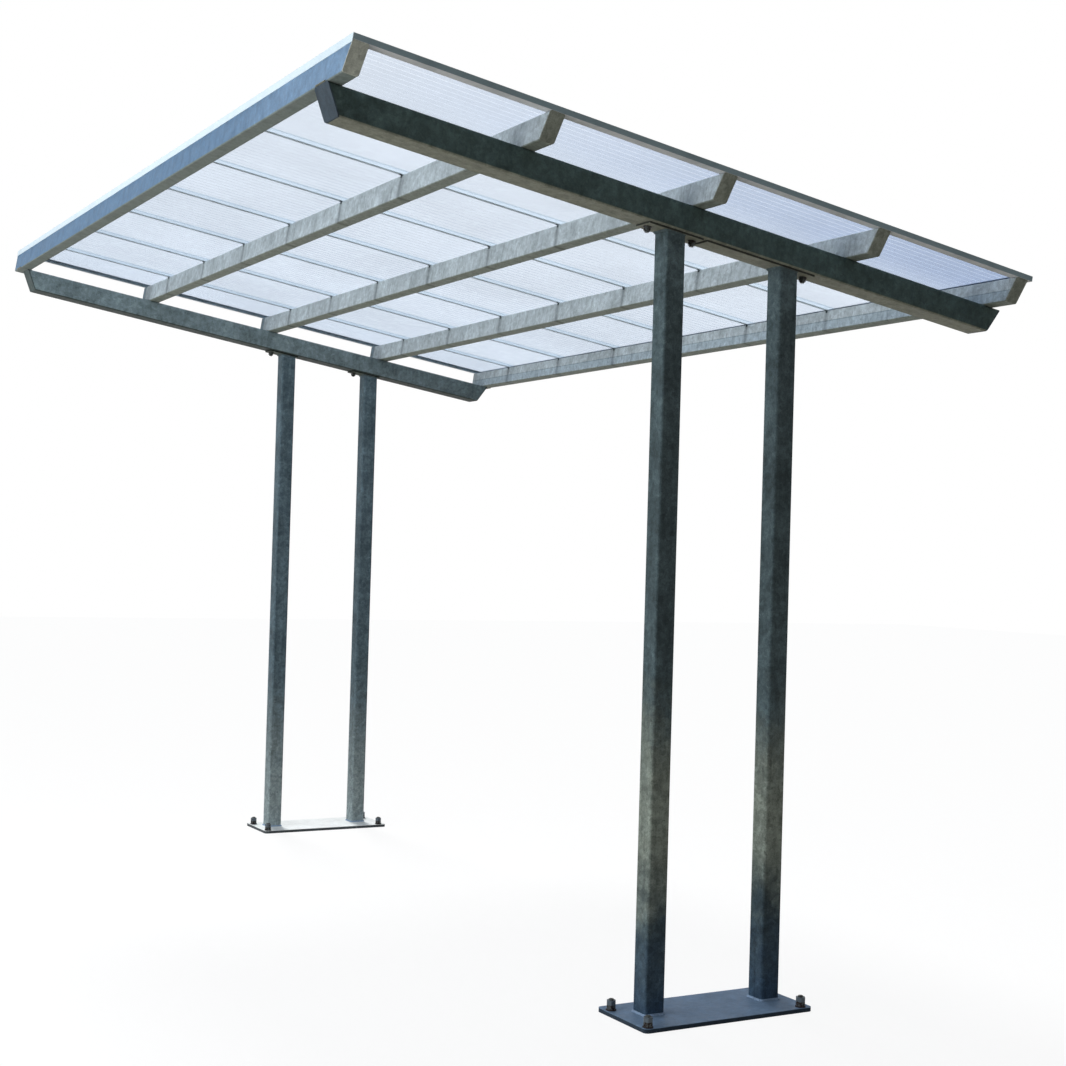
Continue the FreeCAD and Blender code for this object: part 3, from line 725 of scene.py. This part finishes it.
class CARPORT_OT_steel_frame(bpy.types.Operator):
    """Weathered zinc on the posts, beams, base plates and head plates"""
    bl_idname = "carport.steel_frame"
    bl_label = "Steel frame"

    def execute(self, context):
        looks = context.scene.carport_steel
        under = lowest_on_roof_normal("near_beam")
        plate_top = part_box("near_base_plate")[1][2]

        near_posts = galvanised_steel("galvanised steel, near posts", looks.near_post_colour, mottle=0.9,
                                      zones=(
            Zone("Z", 0.25, 0.6, 0.68, 1.2, 0.75, looks.dusty_colour, 0.6),
            Zone("Z", -FAR_OFF, 0.0, 0.0, 0.42, 0.85, looks.foot_colour, 0.35)))
        finish(near_posts, "near_high_post", "near_low_post")
        # The far posts are painted paler towards their feet, as painted sunlight
        far_posts = galvanised_steel("galvanised steel, far posts", looks.far_post_colour, mottle=0.8, zones=(
            Zone("Z", -FAR_OFF, 0.0, 0.1, 1.0, 0.8, looks.far_foot_sunlight_colour, 0.4),))
        finish(far_posts, "far_high_post", "far_low_post")

        # Painted bounce light: the near beam's underside and lowest few millimetres are paler and browner. The
        # far beam takes the same zone in a darker colour, as painted shade.
        painted_underside = Zone("roof", -FAR_OFF, 0.0, under + 3 * MM, under + 6 * MM, 0.9, looks.bounce_lit_zinc_colour)
        beam = galvanised_steel("galvanised steel, near beam", looks.beam_colour, mottle=0.7, streaks=0.45,
                                streak_mm=(30, 30, 90), zones=(painted_underside,))
        finish(beam, "near_beam")
        caps = galvanised_steel("galvanised steel, near beam ends", looks.near_cap_colour, mottle=0.5)
        finish(caps, "near_beam_end_caps")
        # The far beam's paler zinc is painted light from the boards above
        far_beam = galvanised_steel("galvanised steel, far beam", looks.far_beam_lit_colour, mottle=0.7,
                                    streaks=0.45, streak_mm=(30, 30, 90), zones=(
            Zone("X", -0.3, 1.2, FAR_OFF, FAR_OFF + 1, 0.5, looks.far_beam_low_colour),
            # Painted shade: the far beam's underside is darker
            painted_underside._replace(colour=looks.far_underside_shade_colour)))
        finish(far_beam, "far_beam")
        far_caps = galvanised_steel("galvanised steel, far beam ends", looks.far_cap_colour, mottle=0.5)
        finish(far_caps, "far_beam_end_caps")

        # Painted crevice shade: the head plates' top edges, in the joint under the beam, are painted near black
        crevice_shade = Zone("roof", under - 7 * MM, under - 6 * MM, FAR_OFF, FAR_OFF + 1, 0.85,
                          looks.crevice_shade_colour)
        near_heads = galvanised_steel("galvanised steel, near head plates", looks.bounce_lit_zinc_colour, mottle=0.6,
                                      streak_mm=(60, 60, 60), zones=(crevice_shade,))
        finish(near_heads, "near_high_head_plate", "near_low_head_plate")
        far_heads = galvanised_steel("galvanised steel, far head plates", looks.far_head_colour, mottle=0.6,
                                     streak_mm=(60, 60, 60), zones=(crevice_shade,))
        finish(far_heads, "far_high_head_plate", "far_low_head_plate")

        cut_edge = Zone("Z", -FAR_OFF, -FAR_OFF + 1, plate_top - 2.5 * MM, plate_top - 0.5 * MM, 0.9,
                        looks.plate_edge_colour)
        near_plate = galvanised_steel("galvanised steel, near base plate", looks.near_plate_colour, mottle=0.35,
                                      streaks=0.25, streak_mm=(120, 60, 60), zones=(cut_edge,))
        finish(near_plate, "near_base_plate")
        # The far plate's near-white colour is painted sunlight
        far_plate = galvanised_steel("galvanised steel, far base plate", looks.far_plate_sunlit_colour, mottle=0.2,
                                     streaks=0.12, streak_mm=(90, 90, 90), zones=(cut_edge,))
        finish(far_plate, "far_base_plate")
        return {"FINISHED"}


class CARPORT_OT_rafters(bpy.types.Operator):
    """Pale mottled zinc on the rafters, with drip marks under the roof joints"""
    bl_idname = "carport.rafters"
    bl_label = "Rafters"

    def execute(self, context):
        looks = context.scene.carport_steel
        drips = joint_rhythm()
        low = lowest_on_roof_normal("rafter_2")
        high = highest_on_roof_normal("rafter_2")
        # Painted shade: the rafters' undersides are darker and browner
        underside_shade = Zone("roof", -FAR_OFF, 0.0, low + 2 * MM, low + 5 * MM, 0.85, looks.rafter_underside_shade_colour)
        upright = dict(mottle=0.55, streaks=0.55, streak_mm=(14, 14, 120))
        far_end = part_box("rafter_2")[1][1]
        end_zone = Zone("Y", far_end - 50 * MM, far_end - 30 * MM, FAR_OFF, FAR_OFF + 1, 0.8,
                        looks.rafter_end_colour)
        pale = galvanised_steel("galvanised steel, rafters", looks.rafter_colour, zones=(end_zone, underside_shade),
                                drips=drips, **upright)
        finish(pale, "rafter_2", "rafter_3", "rafter_4")
        # The low edge rafter has a darker line at half its height, and is bluer below it
        mid_line = low + 0.47 * (high - low)
        lined = galvanised_steel("galvanised steel, low edge rafter", looks.rafter_colour, zones=(
            Zone("roof", -FAR_OFF, 0.0, mid_line - 1 * MM, mid_line + 1 * MM, 0.45, looks.below_line_colour),
            Zone("roof", mid_line - 3 * MM, mid_line, mid_line + 1 * MM, mid_line + 4 * MM, 0.6, looks.mid_line_colour),
            underside_shade), drips=drips, **upright)
        finish(lined, "rafter_5")
        # The high edge rafter's blue is painted skylight on its open side
        skylit = galvanised_steel("galvanised steel, high edge rafter", looks.first_rafter_skylit_colour, mottle=0.4,
                                  streaks=0.35, streak_mm=(40, 40, 90), zones=(
            Zone("Y", -1.8, -1.0, FAR_OFF, FAR_OFF + 1, 0.75, looks.first_far_skylit_colour), underside_shade))
        finish(skylit, "rafter_1")
        first_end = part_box("rafter_1")[1][0]
        ends = galvanised_steel("galvanised steel, rafter ends", looks.near_end_colour, mottle=0.6, streaks=0.4,
                                streak_mm=(20, 20, 60), zones=(
            Zone("X", -FAR_OFF, -FAR_OFF + 1, first_end, first_end + 0.1, 0.9, looks.first_end_colour),))
        finish(ends, "rafter_near_caps")
        shaded = galvanised_steel("galvanised steel, far rafter ends", looks.far_end_colour, mottle=0.5)
        finish(shaded, "rafter_far_caps")
        return {"FINISHED"}


class CARPORT_OT_roof(bpy.types.Operator):
    """Fluted polycarbonate boards with their joint profiles and edge trims"""
    bl_idname = "carport.roof"
    bl_label = "Roof boards and edges"

    def execute(self, context):
        looks = context.scene.carport_roof
        boards = [name for name in NODES if name.startswith("roof_board_")]
        finish(fluted_polycarbonate(looks), *boards)
        finish(clear_joint_plastic(looks.joint_colour, looks.joint_clear_colour), "joint_profiles")
        # The trims' undersides are painted near white, as painted light
        trim_foot = lowest_on_roof_normal("near_edge_trim") + 0.4 * MM
        finish(mill_aluminium("folded aluminium, dull trims", looks.trim_colour, 0.6, 0.25, trim_foot,
                              looks.trim_underside_light_colour), "near_edge_trim", "far_edge_trim", "low_edge_trim")
        # The flashing's near-white bluish colour is partly its paler metal, partly painted sky reflection
        finish(mill_aluminium("folded aluminium, flashing with painted sky reflection", looks.flashing_sky_reflection_colour, 0.45, 0.12),
               "high_edge_flashing")
        finish(rusted_zinc_plate("darkened zinc plate, clips", looks.clip_colour, looks.clip_dirt_colour, 0.3),
               "joint_clips")
        return {"FINISHED"}


class CARPORT_OT_anchor_bolts(bpy.types.Operator):
    """Threaded anchor studs with turned nuts and lock nuts on the base plates"""
    bl_idname = "carport.anchor_bolts"
    bl_label = "Anchor bolts"

    def execute(self, context):
        looks = context.scene.carport_bolts
        stud_places = solid_boxes("anchor_studs")
        low, high = stud_places[0]
        pattern = threaded_stud(looks.anchor_diameter, high.z - low.z, looks.anchor_thread,
                                looks.anchor_pitch)
        places = [((a.x + b.x) / 2, (a.y + b.y) / 2, a.z) for a, b in stud_places]
        studs = copies_at(pattern, places, "anchor_stud_threads")
        settle(studs, "fasteners", "anchor_studs")
        for source, name in (("anchor_nuts", "anchor_nut_bodies"),
                             ("anchor_lock_nuts", "anchor_lock_nut_bodies")):
            nut_places = solid_boxes(source)
            low, high = nut_places[0]
            nut = hexagon_nut(looks.anchor_nut_width, high.z - low.z, looks.anchor_diameter + looks.bore_play)
            nuts = copies_at(nut, [(a + b) / 2 for a, b in nut_places], name)
            settle(nuts, "fasteners", source)
        plating = rusted_zinc_plate("zinc plate with rust blooms", looks.zinc_colour, looks.rust_colour, 0.25)
        finish(plating, "anchor_lock_nut_bodies")
        finish(rusted_zinc_plate("dark steel thread", looks.dull_zinc_colour, looks.rust_colour, 0.5),
               "anchor_stud_threads")
        worn = rusted_zinc_plate("zinc plate, half rusted", looks.dull_zinc_colour, looks.rust_colour, 0.6)
        finish(worn, "anchor_nut_bodies")
        rusty = rusted_zinc_plate("rusted steel washers", looks.dull_zinc_colour, looks.rust_colour, 0.9)
        finish(rusty, "anchor_washers")
        return {"FINISHED"}


class CARPORT_OT_head_bolts(bpy.types.Operator):
    """Turned nuts under the head plates"""
    bl_idname = "carport.head_bolts"
    bl_label = "Head bolts"

    def execute(self, context):
        looks = context.scene.carport_bolts
        places = [(a + b) / 2 for a, b in solid_boxes("head_nuts")]
        nut = hexagon_nut(looks.head_nut_width, looks.head_nut_height,
                          looks.head_bolt_diameter + looks.bore_play)
        nuts = copies_at(nut, places, "head_nut_bodies", turn=ROOF_SLOPE)
        settle(nuts, "fasteners", "head_nuts")
        plating = rusted_zinc_plate("zinc plate, head bolts", looks.dull_zinc_colour, looks.rust_colour, 0.5)
        finish(plating, "head_nut_bodies", "head_bolts", "head_washers")
        return {"FINISHED"}


class CARPORT_OT_weld_beads(bpy.types.Operator):
    """Rippled weld metal at the post feet, the post heads and the rafters"""
    bl_idname = "carport.weld_beads"
    bl_label = "Weld beads"

    def execute(self, context):
        looks = context.scene.carport_steel
        for name, source, cell, colour in (
                ("foot_weld_beads", "foot_welds", 0.0011, looks.weld_colour),
                ("head_weld_beads", "head_welds", 0.0011, looks.near_post_colour),
                ("rafter_weld_beads", "rafter_welds", 0.0012, looks.bounce_lit_zinc_colour)):
            beads = weld_beads(name, source, 0.006, 0.0012, cell)
            finish(galvanised_steel("galvanised weld metal, " + source.replace("_", " "), colour, mottle=0.6,
                                    streaks=0.3, streak_mm=(20, 20, 20), roughness=0.42), name)
            settle(beads, "welds", source)
        return {"FINISHED"}


OPERATORS = (CARPORT_OT_stage, CARPORT_OT_steel_frame, CARPORT_OT_rafters, CARPORT_OT_roof,
             CARPORT_OT_anchor_bolts, CARPORT_OT_head_bolts, CARPORT_OT_weld_beads)


class CARPORT_PT_panel(bpy.types.Panel):
    """Lists the carport's steps"""
    bl_idname = "CARPORT_PT_panel"
    bl_label = "Carport"
    bl_space_type = "VIEW_3D"
    bl_region_type = "UI"
    bl_category = "Carport"

    def draw(self, context):
        for operator in OPERATORS:
            self.layout.operator(operator.bl_idname)


CLASSES = (*SETTINGS.values(), *OPERATORS, CARPORT_PT_panel)


def register():
    for cls in CLASSES:
        bpy.utils.register_class(cls)
    for name, group in SETTINGS.items():
        setattr(bpy.types.Scene, name, bpy.props.PointerProperty(type=group))


def unregister():
    for name in SETTINGS:
        delattr(bpy.types.Scene, name)
    for cls in reversed(CLASSES):
        bpy.utils.unregister_class(cls)


def main():
    register()
    for operator in OPERATORS:
        step = operator.bl_idname.split(".")[1]
        getattr(bpy.ops.carport, step)()


if __name__ == "__main__":
    main()
